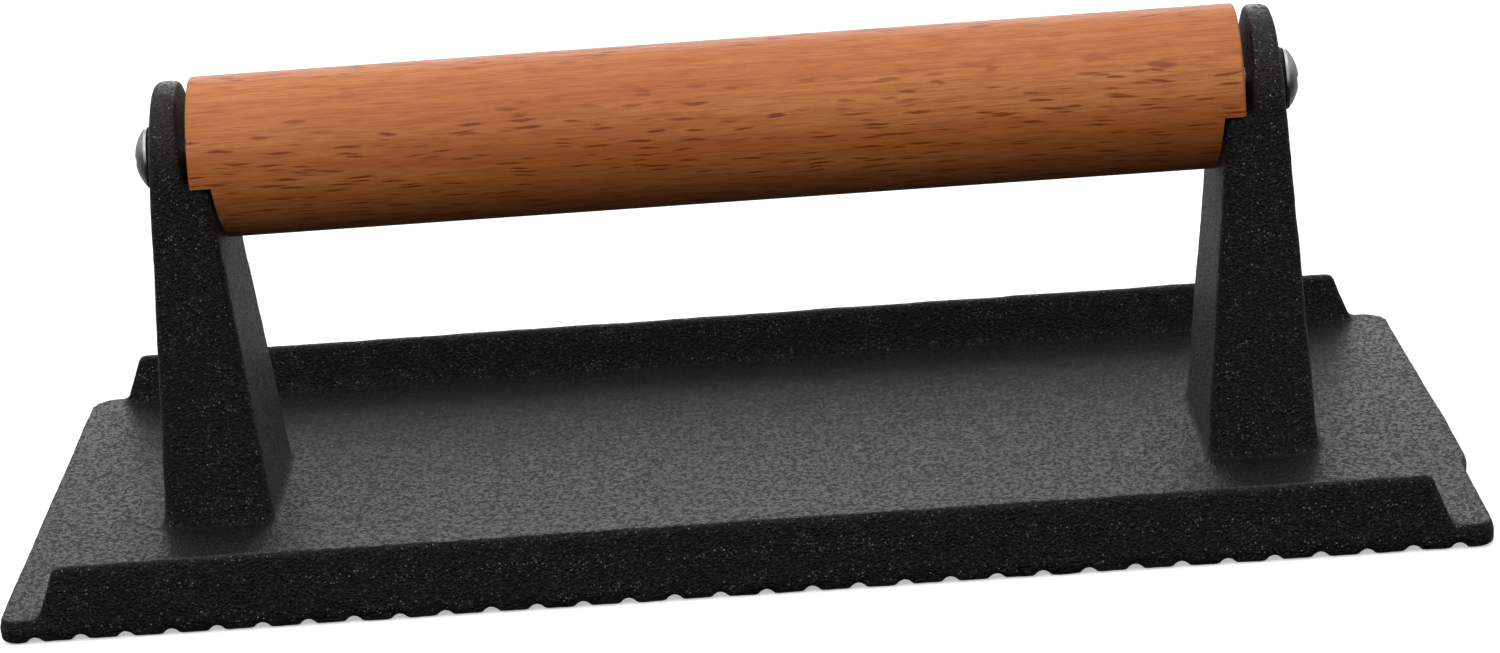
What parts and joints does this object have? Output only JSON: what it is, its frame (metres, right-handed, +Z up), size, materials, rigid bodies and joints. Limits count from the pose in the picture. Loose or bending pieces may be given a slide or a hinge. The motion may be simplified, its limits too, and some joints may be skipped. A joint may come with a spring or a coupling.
{
  "type": "patty press",
  "caption": "Rectangular cast-iron press with a grooved underside, long side walls and a round wooden handle held between two cast posts.",
  "frame": {"origin": "on the underside, in the middle of the plate", "axes": "+Z up; +X along the handle and the long sides; -Y is the front"},
  "size_m": [0.2116, 0.108, 0.0682],
  "materials": {
    "black_cast_iron": "black seasoned sand casting, pebbled, satin",
    "beech": "turned and oiled beech, reddish brown with short dark flecks",
    "rod_steel": "plain drawn steel",
    "screw_steel": "bright polished steel"
  },
  "bodies": {
    "root": {"base_casting": "black_cast_iron", "wooden_handle": "beech", "tie_rod": "rod_steel", "left_handle_screw": "screw_steel", "right_handle_screw": "screw_steel"}
  },
  "joints": []
}
